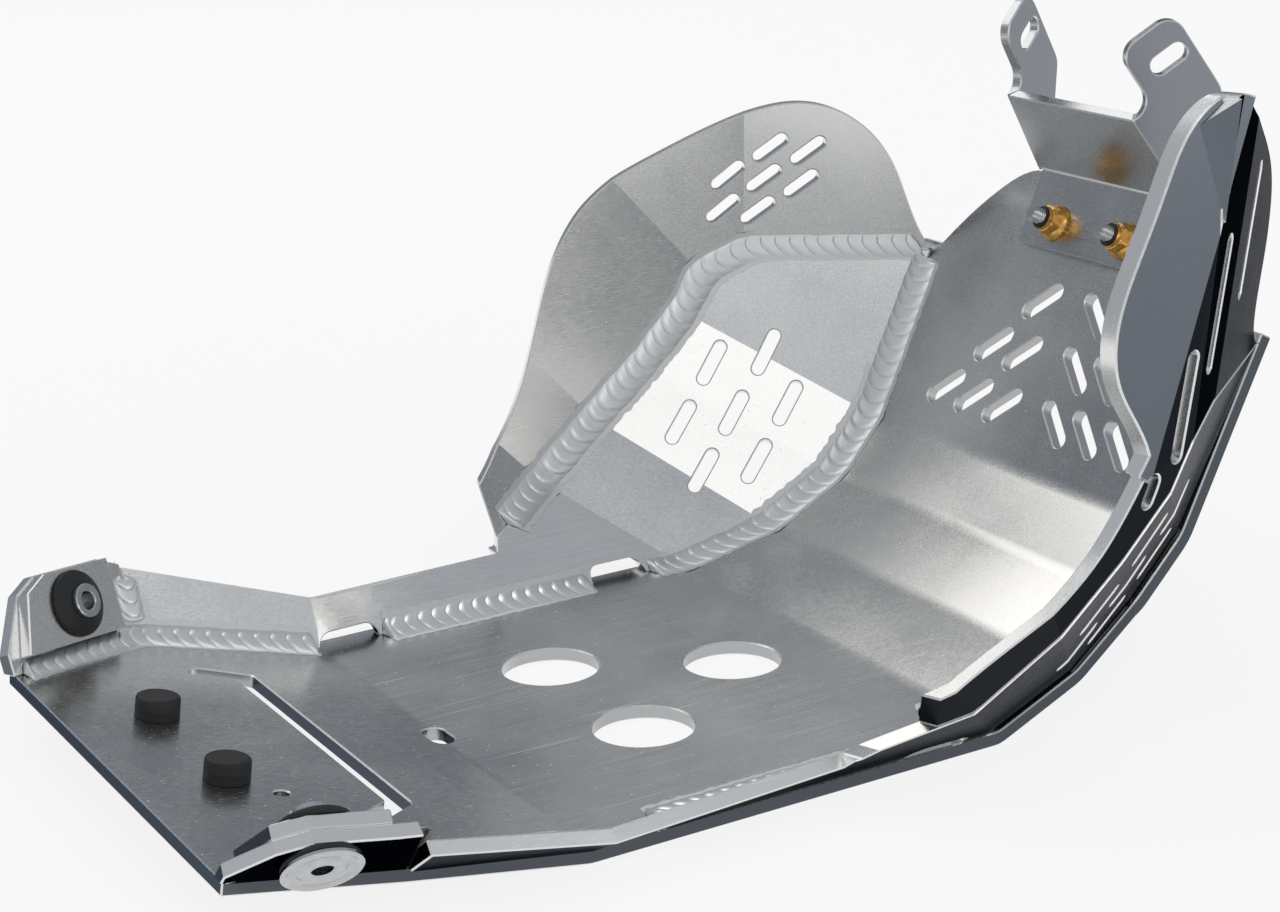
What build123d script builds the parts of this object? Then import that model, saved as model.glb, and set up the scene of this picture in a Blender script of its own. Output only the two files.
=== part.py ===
# Motorcycle skid plate with an exhaust pipe guard, in millimetres.
# Origin: underside of the floor, at the centre of the three drain holes. +X forward, +Y left, +Z up.
from math import cos, radians, sin
import os

from build123d import *

os.makedirs("parts", exist_ok=True)

# Sheets
plate = 5.0
bracket_plate = 4.0
reach = 260.0
foot_lap = 8.5

# Folded base
floor_rear = 80.0
floor_front = 75.5
rear_length = 117.5
rear_rise = 9.4
soft_lengths = (39.0, 33.5, 28.0)
panel_angle = 63.0
panel_length = 111.0
panel_top_half = 45.0
panel_corner_s = 74.0
panel_corner_half = 84.0
# Rim of the panel's rounded corner: drop below the top edge, and half width
panel_rim = ((23.0, 74.0), (10.0, 62.0), (3.0, 53.0))
seam_floor = 96.0
seam_soft = (90.0, 86.0, 87.0)
seam_panel = 89.0
seam_panel_s = 72.0
fold_radius = 20.0
tail_margin = 2.0
hip_back = 62.0
left_tail_half = 90.0
left_hip_half = 121.0
right_tail_half = 93.0
right_hip_half = 97.0
right_hip_lap = 5.0
tail_lap = 3.5

# Holes in the base
drain_radius = 17.5
drain_circle = 37.5
oval_length = 15.0
oval_width = 8.0
hook_front_s = 36.5
hook_width = 7.5
hook_left = 75.5
hook_right = -56.5
hook_leg = 24.0
hook_leg_angle = 36.0
stud_hole_radius = 3.2
pin_hole_radius = 2.6
pin_hole_s = 73.0
pin_hole_y = -36.5
bumper_s = 85.0
bumper_y = 9.5
bumper_spacing = 61.0
vent_length = 21.0
vent_width = 6.2
vent_slant = 48.0
vent_pitch_y = 17.3
vent_pitch_s = 21.0
vent_first_s = 21.0
vent_first_y = 15.3
bracket_hole_drop = 19.0
bracket_hole_spacing = 38.5
bracket_hole_radius = 3.2

# Cheeks
cheek_flares = (53.0, 42.0, 40.0, 40.0, 40.0)
fold_lengths = (65.0, 82.0, 88.0, 86.0)
flange_front = 84.0
left_flange_flares = (24.0, 20.0)
left_flange_heights = (27.0, 19.5, 24.0)
right_flange_flares = (54.0, 60.0)
right_flange_heights = (26.0, 25.0, 24.0)
joint_start_x = 7.0
joint_start_z = 23.6
joint_corner_x = 116.5
joint_corner_z = 107.9
joint_turn_x = 132.0
joint_turn_z = 116.5
joint_end_s = 70.0
gap_length = 24.0
gap_height = 5.0
gap_starts = (0.0, 116.0)
cheek_slot_length = 19.8
cheek_slot_width = 5.2
cheek_slot_slant = 87.0
# Slot centres on three facets of the cheek, as X and Z
low_slots = ((94.6, 53.2), (96.7, 35.6), (116.3, 38.1))
middle_slots = ((114.1, 55.6), (112.0, 74.2), (133.6, 58.5))
high_slots = ((131.6, 77.4),)

# Guards, drawn on an upright plane turned by this angle
draw_turn = 20.0
left_leans = (28.8, 16.3, 9.1, 8.9, 7.7, -8.1, -7.0)
right_leans = (29.5, 17.0, 12.0, 11.5, 9.0, 6.0, 6.0)
left_heel = (-39.5, 42.6)
left_rim = ((-30.0, 53.0), (-15.0, 80.0), (-4.0, 113.0), (11.0, 138.0), (44.0, 159.0), (80.0, 174.0),
            (100.0, 177.5), (116.0, 173.0), (133.0, 156.0), (143.0, 131.0))
left_slots = ((88.4, 159.3), (102.8, 157.8), (72.0, 148.4), (86.1, 146.6), (100.3, 144.2), (70.0, 134.8),
              (83.9, 133.3))
left_slot_length = 15.6
guard_slot_width = 5.0
left_slot_slant = 38.0
right_bend = ((47.0, 111.0), (70.0, 192.0))
right_bend_angle = 25.0
right_start = 0.55
right_heel = (-27.0, 42.0)
right_step = ((-8.8, 55.0), (19.8, 75.0), (36.0, 97.0), (41.5, 107.5))
right_rim = ((39.0, 116.0), (33.8, 129.5), (32.8, 142.0), (36.0, 157.5), (42.3, 174.0), (48.4, 190.0),
             (56.0, 207.5), (61.0, 213.6), (67.0, 217.0), (76.0, 215.0), (86.0, 209.0), (115.0, 192.0),
             (135.0, 173.0), (139.0, 152.0), (136.0, 132.0))
# Long slots of the right guard, each from its lower to its upper cap centre
right_slots = (((99.2, 147.5), (105.7, 186.3)), ((69.1, 130.8), (75.1, 169.3)),
               ((53.5, 105.0), (57.0, 135.8)), ((41.6, 92.5), (43.6, 98.5)))

# Ears and their bushes
left_ear_flare = 24.0
left_ear_top = 32.0
left_ear_hole = (31.0, 18.5)
right_ear_flare = 40.0
right_ear_top = 25.0
right_ear_hole = (24.0, 14.5)
ear_tail_low = -3.0
ear_tail_high = 8.0
ear_shoulder = 19.0
ear_round = 9.0
ear_hole_radius = 8.5
doubler_plate = 5.0
doubler_gap = 0.6
doubler_inset = 0.5
grommet_flange_radius = 12.0
grommet_flange = 2.0
sleeve_radius = 5.0
sleeve_bore_radius = 3.25
sleeve_flange_radius = 12.4
sleeve_flange = 1.5
sleeve_proud = 4.0

# Buffers and their studs
bumper_radius = 7.6
bumper_height = 7.5
bumper_edge = 1.5
stud_radius = 3.0
stud_bury = 3.0
stud_tail = 2.0
nut_height = 5.0
nut_across = 10.0
washer_radius = 6.5
washer_thick = 1.2

# Bracket on the front panel
bracket_low_drop = 29.0
bracket_low_half = 37.0
bracket_bend_rise = 2.5
web_low_half = 39.0
web_high_half = 32.5
web_lean = 33.0
web_height = 39.0
arm_bend = 70.0
arm_inner = 6.0
arm_outer = 29.5
arm_top = 63.0
arm_shoulder = 28.0
arm_round = 7.0
arm_slot_out = 19.5
arm_slot_up = 50.0
arm_slot_length = 14.5
arm_slot_width = 7.0

# Bracket bolts and their flange nuts
flange_nut_radius = 7.0
flange_nut_base = 2.0
flange_nut_height = 9.0
flange_nut_across = 10.0
bolt_radius = 3.0
bolt_proud = 5.0
bolt_head_radius = 5.5
bolt_head_height = 3.5
bolt_socket = 4.0
bolt_socket_depth = 2.0

# Weld beads
bead_leg = 6.5
bead_rise = 4.8
bead_crown = 1.0
bead_floor_end_s = 60.0
guard_bead_start = 0.2
guard_bead_end = 0.93
bead_skew = 0.8

up = Vector(0, 0, 1)
rise = radians(rear_rise)
step = panel_angle / 4


def mitred(points, distance):
    # Points of a chain moved to the right of its run, with mitred corners
    moved = []
    for k in range(len(points)):
        before = points[max(k - 1, 0)]
        here = points[k]
        after = points[min(k + 1, len(points) - 1)]
        into = (here - before) if k > 0 else (after - here)
        out = (after - here) if k < len(points) - 1 else into
        n_in = Vector(into.Z, 0, -into.X).normalized()
        n_out = Vector(out.Z, 0, -out.X).normalized()
        both = n_in + n_out
        moved.append(here + both * (2 * distance / both.dot(both)))
    return moved


# Top face of the base as a chain in the XZ plane, rear to front
fold_1 = Vector(-floor_rear, 0, plate)
fold_2 = Vector(floor_front, 0, plate)
tail = fold_1 + Vector(-cos(rise), 0, sin(rise)) * rear_length
chain = [tail, fold_1, fold_2]
for k in range(3):
    turn = radians(step * (k + 1))
    chain.append(chain[-1] + Vector(cos(turn), 0, sin(turn)) * soft_lengths[k])
panel_dir = Vector(cos(radians(panel_angle)), 0, sin(radians(panel_angle)))
panel_foot = chain[-1]
panel_top = panel_foot + panel_dir * panel_length
bracket_hole_s = panel_length - bracket_hole_drop
bracket_low_s = panel_length - bracket_low_drop
bracket_bend_s = panel_length + bracket_bend_rise
bracket_hole_y = bracket_hole_spacing / 2
bumper_left = bumper_y + bumper_spacing / 2
bumper_right = bumper_y - bumper_spacing / 2
chain.append(panel_top)
lower_chain = mitred(chain, plate)
rear_dir = (tail - fold_1).normalized()
rear_plane = Plane(origin=fold_1, x_dir=-rear_dir, z_dir=Vector(sin(rise), 0, cos(rise)))
panel_plane = Plane(origin=panel_foot, x_dir=panel_dir, z_dir=Vector(-panel_dir.Z, 0, panel_dir.X))


def on_rear(s, y):
    return fold_1 + rear_dir * s + Vector(0, y, 0)


def on_panel(s, y):
    return panel_foot + panel_dir * s + Vector(0, y, 0)


# Seam between the base and the left cheek, on the top face
seam = [fold_1 + Vector(0, seam_floor, 0), fold_2 + Vector(0, seam_floor, 0)]
for k in range(3):
    seam.append(chain[3 + k] + Vector(0, seam_soft[k], 0))
seam.append(on_panel(seam_panel_s, seam_panel))


def outward(normal):
    return normal if normal.Y > 0 else normal * -1


def facet(a, b, base_normal, flare):
    # Plane through a and b, leaning out from the base normal; its normal points out
    along = (b - a).normalized()
    side = outward(base_normal.cross(along).normalized())
    rising = base_normal * cos(radians(flare)) + side * sin(radians(flare))
    return Plane(origin=a, x_dir=along, z_dir=outward(along.cross(rising).normalized()))


def mitre(point, one, two, forward):
    fold = one.z_dir.cross(two.z_dir).normalized()
    normal = fold.cross(one.z_dir + two.z_dir).normalized()
    return Plane(origin=point, z_dir=normal if normal.dot(forward) > 0 else normal * -1)


def fold_dir(one, two):
    line = one.z_dir.cross(two.z_dir).normalized()
    return line if line.Z > 0 else line * -1


cheek_facets = []
for k in range(5):
    run = chain[k + 2] - chain[k + 1]
    cheek_facets.append(facet(seam[k], seam[k + 1], Vector(-run.Z, 0, run.X).normalized(), cheek_flares[k]))


def at(plane, x, z):
    n = plane.z_dir
    o = plane.origin
    return Vector(x, o.Y - (n.X * (x - o.X) + n.Z * (z - o.Z)) / n.Y, z)


# Joint between cheek and guard
folds = [fold_dir(cheek_facets[k], cheek_facets[k + 1]) for k in range(4)]
joint = [at(cheek_facets[0], joint_start_x, joint_start_z)]
for k in range(4):
    joint.append(seam[k + 1] + folds[k] * fold_lengths[k])
joint.append(at(cheek_facets[4], joint_corner_x, joint_corner_z))
joint.append(at(cheek_facets[4], joint_turn_x, joint_turn_z))
joint.append(seam[4] + (seam[5] - seam[4]) * (joint_end_s / seam_panel_s))
draw = Plane(origin=(0, 0, 0), x_dir=(cos(radians(draw_turn)), -sin(radians(draw_turn)), 0),
             z_dir=(-sin(radians(draw_turn)), -cos(radians(draw_turn)), 0))


def drawn(point):
    local = draw.to_local_coords(point)
    return (local.X, local.Y)


joint_drawn = [drawn(p) for p in joint]


def slab(face, low, high):
    with BuildPart() as piece:
        with BuildSketch(face):
            Rectangle(2 * reach, 2 * reach)
        extrude(amount=plate)
        split(bisect_by=low, keep=Keep.TOP)
        split(bisect_by=high, keep=Keep.BOTTOM)
    return piece.part


def slabs(points, faces, first, last):
    cuts = [first]
    for k in range(1, len(faces)):
        cuts.append(mitre(points[k], faces[k - 1], faces[k], points[k + 1] - points[k - 1]))
    cuts.append(last)
    return [slab(faces[k], cuts[k], cuts[k + 1]) for k in range(len(faces))]


def section(foot, flare, height):
    # Cross-section of the flange in the plane of constant X
    rising = Vector(0, sin(radians(flare)), cos(radians(flare)))
    out = Vector(0, cos(radians(flare)), -sin(radians(flare)))
    return [foot, foot + rising * height, foot + rising * height + out * plate, foot + out * plate]


def placed(part, side):
    # Pieces are drawn on the left, and those of the right side are turned over
    with BuildPart() as piece:
        if side == "left":
            add(part)
        else:
            mirror(part, about=Plane.XZ)
    return piece.part


def keep(part, name):
    part.label = name
    export_step(part, "parts/" + name + ".step")


# Rear corners of each side, and the sections of the twisted flange behind each cheek
hips = {"left": on_rear(hip_back, left_hip_half), "right": on_rear(hip_back, right_hip_half)}
tail_s = rear_length - tail_margin
tails = {"left": on_rear(tail_s, left_tail_half), "right": on_rear(tail_s, right_tail_half)}
flange_foot = Vector(flange_front - floor_rear, seam_floor, plate)
flange_rings = {}
for side, flares, heights in (("left", left_flange_flares, left_flange_heights),
                              ("right", right_flange_flares, right_flange_heights)):
    feet = (hips[side], seam[0], flange_foot)
    angles = (*flares, cheek_flares[0])
    flange_rings[side] = [section(feet[k], angles[k], heights[k]) for k in range(3)]

# Space below the top face of the base
with BuildPart() as below:
    with BuildSketch(Plane.XZ):
        with BuildLine():
            far = [Vector(panel_top.X + reach, 0, panel_top.Z), Vector(panel_top.X + reach, 0, -reach),
                   Vector(tail.X - reach, 0, -reach), Vector(tail.X - reach, 0, tail.Z)]
            bent = FilletPolyline(*[(p.X, p.Z) for p in chain], radius=fold_radius)
            Polyline(bent @ 1, *[(p.X, p.Z) for p in far], bent @ 0)
        make_face()
    extrude(amount=reach, both=True)

# Base plate
with BuildPart() as base_plate:
    with BuildSketch(Plane.XZ):
        with BuildLine():
            upper = FilletPolyline(*[(p.X, p.Z) for p in chain], radius=fold_radius)
            lower = FilletPolyline(*[(p.X, p.Z) for p in lower_chain], radius=fold_radius + plate)
            Line(upper @ 0, lower @ 0)
            Line(upper @ 1, lower @ 1)
        make_face()
    extrude(amount=reach, both=True)
    with BuildSketch(Plane.XY):
        with BuildLine():
            front = [(p.X, p.Y + foot_lap) for p in seam[:5]] + [(panel_top.X + reach, seam_panel + foot_lap)]
            left, right = [[(tail.X - plate, tails[side].Y + tail_lap),
                            (hips[side].X, hips[side].Y + lap)] + front
                           for side, lap in (("left", foot_lap), ("right", right_hip_lap))]
            Polyline(*left, *[(x, -y) for x, y in right[::-1]], close=True)
        make_face()
    extrude(amount=reach, both=True, mode=Mode.INTERSECT)
    with BuildSketch(panel_plane):
        for side in (1, -1):
            with BuildLine():
                corner = [(panel_corner_s, panel_corner_half)]
                corner += [(panel_length - drop, half) for drop, half in panel_rim]
                corner += [(panel_length, panel_top_half)]
                rim = Spline(*[(s, side * y) for s, y in corner])
                Polyline(rim @ 1, (reach, side * panel_top_half), (reach, side * reach),
                         (panel_corner_s, side * reach), rim @ 0)
            make_face()
    extrude(amount=plate * 3, both=True, mode=Mode.SUBTRACT)
    with BuildSketch(Plane.XY):
        with PolarLocations(drain_circle, 3):
            Circle(drain_radius)
        with Locations((fold_1.X, 0)):
            SlotOverall(oval_length, oval_width, rotation=90)
    extrude(amount=plate * 2, both=True, mode=Mode.SUBTRACT)
    with BuildSketch(rear_plane):
        mid_s = hook_front_s + hook_width / 2
        with Locations((-mid_s, (hook_left + hook_right) / 2)):
            SlotOverall(hook_left - hook_right, hook_width, rotation=90)
        for side, y in ((1, hook_left - hook_width / 2), (-1, hook_right + hook_width / 2)):
            lean = radians(hook_leg_angle)
            shift = hook_leg / 2 - hook_width / 2
            with Locations((-mid_s - shift * cos(lean), y + side * shift * sin(lean))):
                SlotOverall(hook_leg, hook_width, rotation=180 - side * hook_leg_angle)
        with Locations((-pin_hole_s, pin_hole_y)):
            Circle(pin_hole_radius)
        with Locations((-bumper_s, bumper_left), (-bumper_s, bumper_right)):
            Circle(stud_hole_radius)
    extrude(amount=plate * 2, both=True, mode=Mode.SUBTRACT)
    with BuildSketch(panel_plane):
        for row in range(3):
            for column in range(3 - row):
                for side in (1, -1):
                    y = side * (vent_first_y + column * vent_pitch_y)
                    with Locations((vent_first_s + row * vent_pitch_s, y)):
                        SlotOverall(vent_length, vent_width, rotation=-side * vent_slant)
        with Locations((bracket_hole_s, bracket_hole_y), (bracket_hole_s, -bracket_hole_y)):
            Circle(bracket_hole_radius)
    extrude(amount=plate * 2, both=True, mode=Mode.SUBTRACT)
base_plate.part.label = "base_plate"
export_step(base_plate.part, "parts/base_plate.step")

# Cheeks: folded facets trimmed along the joint, and the twisted flange behind them
cheek_end = Plane(origin=panel_top + panel_dir * reach, z_dir=panel_dir)
cheek_start = Plane(origin=flange_foot, z_dir=(1, 0, 0))
cheek_slabs = slabs(seam, cheek_facets, cheek_start, cheek_end)
cheeks = {}
for side in ("left", "right"):
    rings = flange_rings[side]
    flange_lip = drawn(rings[2][1])
    with BuildPart() as cheek:
        for piece in cheek_slabs:
            add(piece)
        with BuildSketch(draw):
            with BuildLine():
                Polyline((-reach, -reach), (-reach, flange_lip[1]), flange_lip, *joint_drawn,
                         (joint_drawn[-1][0], -reach), close=True)
            make_face()
        extrude(amount=reach, both=True, mode=Mode.INTERSECT)
        for k in range(2):
            loft([Face(Wire.make_polygon(rings[k])), Face(Wire.make_polygon(rings[k + 1]))], ruled=True)
        for k, spots in ((2, low_slots), (3, middle_slots), (4, high_slots)):
            for x, z in spots:
                face = cheek_facets[k]
                place = Plane(origin=at(face, x, z), x_dir=folds[k - 1], z_dir=face.z_dir)
                with BuildSketch(place):
                    SlotOverall(cheek_slot_length, cheek_slot_width, rotation=cheek_slot_slant)
                extrude(amount=plate * 2, both=True, mode=Mode.SUBTRACT)
        with BuildSketch(Plane.XZ):
            for start in gap_starts:
                with Locations((fold_1.X + start + gap_length / 2, plate)):
                    SlotOverall(gap_length, 2 * gap_height)
        extrude(amount=-reach, mode=Mode.SUBTRACT)
        add(below.part, mode=Mode.SUBTRACT)
    cheeks[side] = cheek.part
    keep(placed(cheek.part, side), side + "_cheek")


def flat_facet(a, b, lean):
    along = (b - a).normalized()
    side = outward(up.cross(along).normalized())
    raised = along.cross(side)
    raised = raised if raised.Z > 0 else raised * -1
    rising = raised * cos(radians(lean)) + side * sin(radians(lean))
    return Plane(origin=a, x_dir=along, z_dir=outward(along.cross(rising).normalized()))


left_facets = [flat_facet(joint[k], joint[k + 1], left_leans[k]) for k in range(7)]
right_facets = [flat_facet(joint[k], joint[k + 1], right_leans[k]) for k in range(7)]
guard_first = Plane(origin=joint[0] - Vector(reach, 0, 0), z_dir=(1, 0, 0))
guard_last = Plane(origin=joint[7] + Vector(reach, 0, 0), z_dir=(1, 0, 0))

with BuildPart() as exhaust_guard:
    for piece in slabs(joint, left_facets, guard_first, guard_last):
        add(piece)
    with BuildSketch(draw):
        with BuildLine():
            Polyline(*joint_drawn[::-1], left_heel)
            Spline(left_heel, *left_rim, joint_drawn[7])
        make_face()
        with Locations(*left_slots):
            SlotOverall(left_slot_length, guard_slot_width, rotation=left_slot_slant, mode=Mode.SUBTRACT)
    extrude(amount=reach, both=True, mode=Mode.INTERSECT)
    add(base_plate.part, mode=Mode.SUBTRACT)
keep(exhaust_guard.part, "exhaust_guard")


def lifted(face, spot):
    # Point of a face that is seen at a spot of the drawing plane
    flat = draw.from_local_coords(Vector(*spot, 0))
    return flat + draw.z_dir * ((face.origin - flat).dot(face.z_dir) / draw.z_dir.dot(face.z_dir))


# Right guard: its rear strip is bent in along a straight line of the widest facet
wide = 4
wide_facet = right_facets[wide]
bend_foot = lifted(wide_facet, right_bend[0])
bend_axis = (lifted(wide_facet, right_bend[1]) - bend_foot).normalized()
strip_side = bend_axis.cross(wide_facet.z_dir).normalized()
strip_side = strip_side if strip_side.X < 0 else strip_side * -1
strip_dir = strip_side * cos(radians(right_bend_angle)) - wide_facet.z_dir * sin(radians(right_bend_angle))
strip_facet = Plane(origin=bend_foot, x_dir=bend_axis, z_dir=outward(bend_axis.cross(strip_dir).normalized()))
strip_cut = mitre(bend_foot, wide_facet, strip_facet, strip_side * -1)
strip_foot_cut = mitre(joint[wide], right_facets[wide - 1], wide_facet, joint[wide + 1] - joint[wide - 1])
right_first = joint[0] + (joint[1] - joint[0]) * right_start
right_slabs = slabs(joint, right_facets, guard_first, guard_last)
with BuildPart() as wide_slab:
    add(right_slabs[wide])
    split(bisect_by=strip_cut, keep=Keep.TOP)
right_slabs[wide] = wide_slab.part

with BuildPart() as right_guard:
    for piece in right_slabs:
        add(piece)
    add(slab(strip_facet, strip_foot_cut, strip_cut))
    with BuildSketch(draw):
        with BuildLine():
            Polyline(*joint_drawn[:0:-1], drawn(right_first), right_heel)
            Spline(right_heel, *right_step)
            Spline(right_step[-1], *right_rim, joint_drawn[7])
        make_face()
        for low, high in right_slots:
            middle = ((low[0] + high[0]) / 2, (low[1] + high[1]) / 2)
            SlotCenterPoint(middle, high, guard_slot_width, mode=Mode.SUBTRACT)
    extrude(amount=reach, both=True, mode=Mode.INTERSECT)
    add(base_plate.part, mode=Mode.SUBTRACT)
keep(placed(right_guard.part, "right"), "right_guard")

# Ears: flat plates from the tail to the hip, each with a doubler, a rubber spool and a flanged sleeve
doubler_foot = bead_rise + doubler_gap
ear_rises = {}
for side, flare, top, hole in (("left", left_ear_flare, left_ear_top, left_ear_hole),
                               ("right", right_ear_flare, right_ear_top, right_ear_hole)):
    ear_rises[side] = Vector(0, sin(radians(flare)), cos(radians(flare)))
    ear_along = (hips[side] - tails[side]).normalized()
    ear_length = (hips[side] - tails[side]).length
    ear_out = outward(ear_along.cross(ear_rises[side]).normalized())
    ear_plane = Plane(origin=tails[side], x_dir=ear_along, z_dir=ear_out * -1)
    ear_front = ear_length + plate
    front_top = (flange_rings[side][0][1] - flange_rings[side][0][0]).length
    with BuildPart() as ear:
        with BuildSketch(ear_plane):
            with BuildLine():
                Polyline((ear_front, -plate * 3), (ear_tail_low, -plate * 3), (ear_tail_low, ear_tail_high),
                         (ear_round, top - plate))
                Spline((ear_round, top - plate), (ear_shoulder, top))
                Polyline((ear_shoulder, top), (ear_length - ear_round, top), (ear_front, front_top),
                         (ear_front, -plate * 3))
            make_face()
            with Locations(hole):
                Circle(ear_hole_radius, mode=Mode.SUBTRACT)
        extrude(amount=-plate)
        split(bisect_by=Plane(origin=hips[side], z_dir=(1, 0, 0)), keep=Keep.BOTTOM)
        add(below.part, mode=Mode.SUBTRACT)
    with BuildPart() as ear_doubler:
        with BuildSketch(ear_plane):
            with BuildLine():
                high = top - doubler_inset
                Polyline((ear_round, high - plate), (ear_tail_low + plate, doubler_foot),
                         (ear_length - ear_round, doubler_foot), (ear_length - ear_round, high),
                         (ear_shoulder, high), close=True)
            make_face()
            with Locations(hole):
                Circle(ear_hole_radius, mode=Mode.SUBTRACT)
        extrude(amount=doubler_plate)
    bush_plane = Plane(origin=ear_plane.from_local_coords(Vector(*hole, 0)), x_dir=ear_along,
                       z_dir=ear_plane.z_dir)
    spool_low = -plate - grommet_flange
    spool_high = doubler_plate + grommet_flange
    with BuildPart() as grommet:
        with BuildSketch(bush_plane.offset(-plate)):
            Circle(ear_hole_radius)
        extrude(amount=plate + doubler_plate)
        with BuildSketch(bush_plane.offset(spool_low), bush_plane.offset(doubler_plate)):
            Circle(grommet_flange_radius)
        extrude(amount=grommet_flange)
        with BuildSketch(bush_plane.offset(spool_low)):
            Circle(sleeve_radius)
        extrude(amount=spool_high - spool_low, mode=Mode.SUBTRACT)
    with BuildPart() as sleeve:
        with BuildSketch(bush_plane.offset(spool_low)):
            Circle(sleeve_radius)
        extrude(amount=spool_high - spool_low + sleeve_proud)
        with BuildSketch(bush_plane.offset(spool_low - sleeve_flange)):
            Circle(sleeve_flange_radius)
        extrude(amount=sleeve_flange)
        with BuildSketch(bush_plane.offset(spool_low - sleeve_flange)):
            Circle(sleeve_bore_radius)
        extrude(amount=spool_high - spool_low + sleeve_flange + sleeve_proud, mode=Mode.SUBTRACT)
    for name, piece in (("ear", ear), ("ear_doubler", ear_doubler), ("grommet", grommet), ("sleeve", sleeve)):
        keep(placed(piece.part, side), side + "_" + name)

# Buffers on the rear section, each with a stud, washer and nut
for name, y in (("left", bumper_left), ("right", bumper_right)):
    foot = Plane(origin=on_rear(bumper_s, y), x_dir=rear_plane.x_dir, z_dir=rear_plane.z_dir)
    with BuildPart() as bumper:
        with BuildSketch(foot):
            Circle(bumper_radius)
        extrude(amount=bumper_height)
        fillet(bumper.faces().sort_by(Axis(foot.origin, foot.z_dir))[-1].edges(), bumper_edge)
        with BuildSketch(foot):
            Circle(stud_radius)
        extrude(amount=stud_bury, mode=Mode.SUBTRACT)
    bumper.part.label = name + "_bumper"
    export_step(bumper.part, "parts/" + name + "_bumper.step")
    with BuildPart() as stud:
        with BuildSketch(foot.offset(stud_bury)):
            Circle(stud_radius)
        extrude(amount=-(stud_bury + plate + washer_thick + nut_height + stud_tail))
        with BuildSketch(foot.offset(-plate)):
            Circle(washer_radius)
        extrude(amount=-washer_thick)
        with BuildSketch(foot.offset(-plate - washer_thick)):
            RegularPolygon(nut_across / 2, 6, major_radius=False)
        extrude(amount=-nut_height)
    stud.part.label = name + "_bumper_stud"
    export_step(stud.part, "parts/" + name + "_bumper_stud.step")

# Bracket: a flange on the panel, a leaning web and two arms bent forward
web_foot = on_panel(bracket_bend_s, 0)
web_up = Vector(-sin(radians(web_lean)), 0, cos(radians(web_lean)))
web_normal = Vector(-cos(radians(web_lean)), 0, -sin(radians(web_lean)))
web_plane = Plane(origin=web_foot, x_dir=(0, -1, 0), z_dir=web_normal)
web_cut = mitre(web_foot, panel_plane, web_plane, web_up)
bend_low = web_foot + Vector(0, web_low_half, 0)
bend_line = (web_up * web_height + Vector(0, web_high_half - web_low_half, 0)).normalized()
arm_side = (Vector(0, 1, 0) - bend_line * bend_line.Y).normalized()
arm_out = arm_side * cos(radians(arm_bend)) - web_normal * sin(radians(arm_bend))
arm_plane = Plane(origin=bend_low, x_dir=arm_out * -1, z_dir=bend_line.cross(arm_out))
arm_cut = mitre(bend_low, web_plane, arm_plane, arm_side)
right_arm_cut = Plane(origin=(bend_low.X, -bend_low.Y, bend_low.Z),
                      z_dir=(arm_cut.z_dir.X, -arm_cut.z_dir.Y, arm_cut.z_dir.Z))
with BuildPart() as arm:
    with BuildSketch(arm_plane):
        with BuildLine():
            outline = FilletPolyline((0, 0), (-arm_outer, arm_shoulder), (-arm_outer, arm_top),
                                     (-arm_inner, arm_top), (-arm_inner, web_height), (arm_inner, web_height),
                                     radius=arm_round)
            Polyline(outline @ 1, (arm_inner, 0), outline @ 0)
        make_face()
        with Locations((-arm_slot_out, arm_slot_up)):
            SlotOverall(arm_slot_length, arm_slot_width, mode=Mode.SUBTRACT)
    extrude(amount=bracket_plate)
    split(bisect_by=arm_cut, keep=Keep.TOP)

with BuildPart() as web:
    with BuildSketch(web_plane):
        with Locations((0, (web_height - plate) / 2)):
            Rectangle(2 * web_low_half + 4 * plate, web_height + plate)
    extrude(amount=bracket_plate)
    split(bisect_by=web_cut, keep=Keep.TOP)
    split(bisect_by=arm_cut, keep=Keep.BOTTOM)
    split(bisect_by=right_arm_cut, keep=Keep.BOTTOM)

with BuildPart() as top_bracket:
    with BuildSketch(panel_plane):
        with BuildLine():
            Polyline((bracket_low_s, bracket_low_half), (bracket_low_s, -bracket_low_half),
                     (bracket_bend_s, -web_low_half), (bracket_bend_s + plate, -web_low_half),
                     (bracket_bend_s + plate, web_low_half), (bracket_bend_s, web_low_half), close=True)
        make_face()
        with Locations((bracket_hole_s, bracket_hole_y), (bracket_hole_s, -bracket_hole_y)):
            Circle(bracket_hole_radius, mode=Mode.SUBTRACT)
    extrude(amount=bracket_plate)
    split(bisect_by=web_cut, keep=Keep.BOTTOM)
    add(web.part)
    add(arm.part)
    mirror(arm.part, about=Plane.XZ)
top_bracket.part.label = "top_bracket"
export_step(top_bracket.part, "parts/top_bracket.step")

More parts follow.
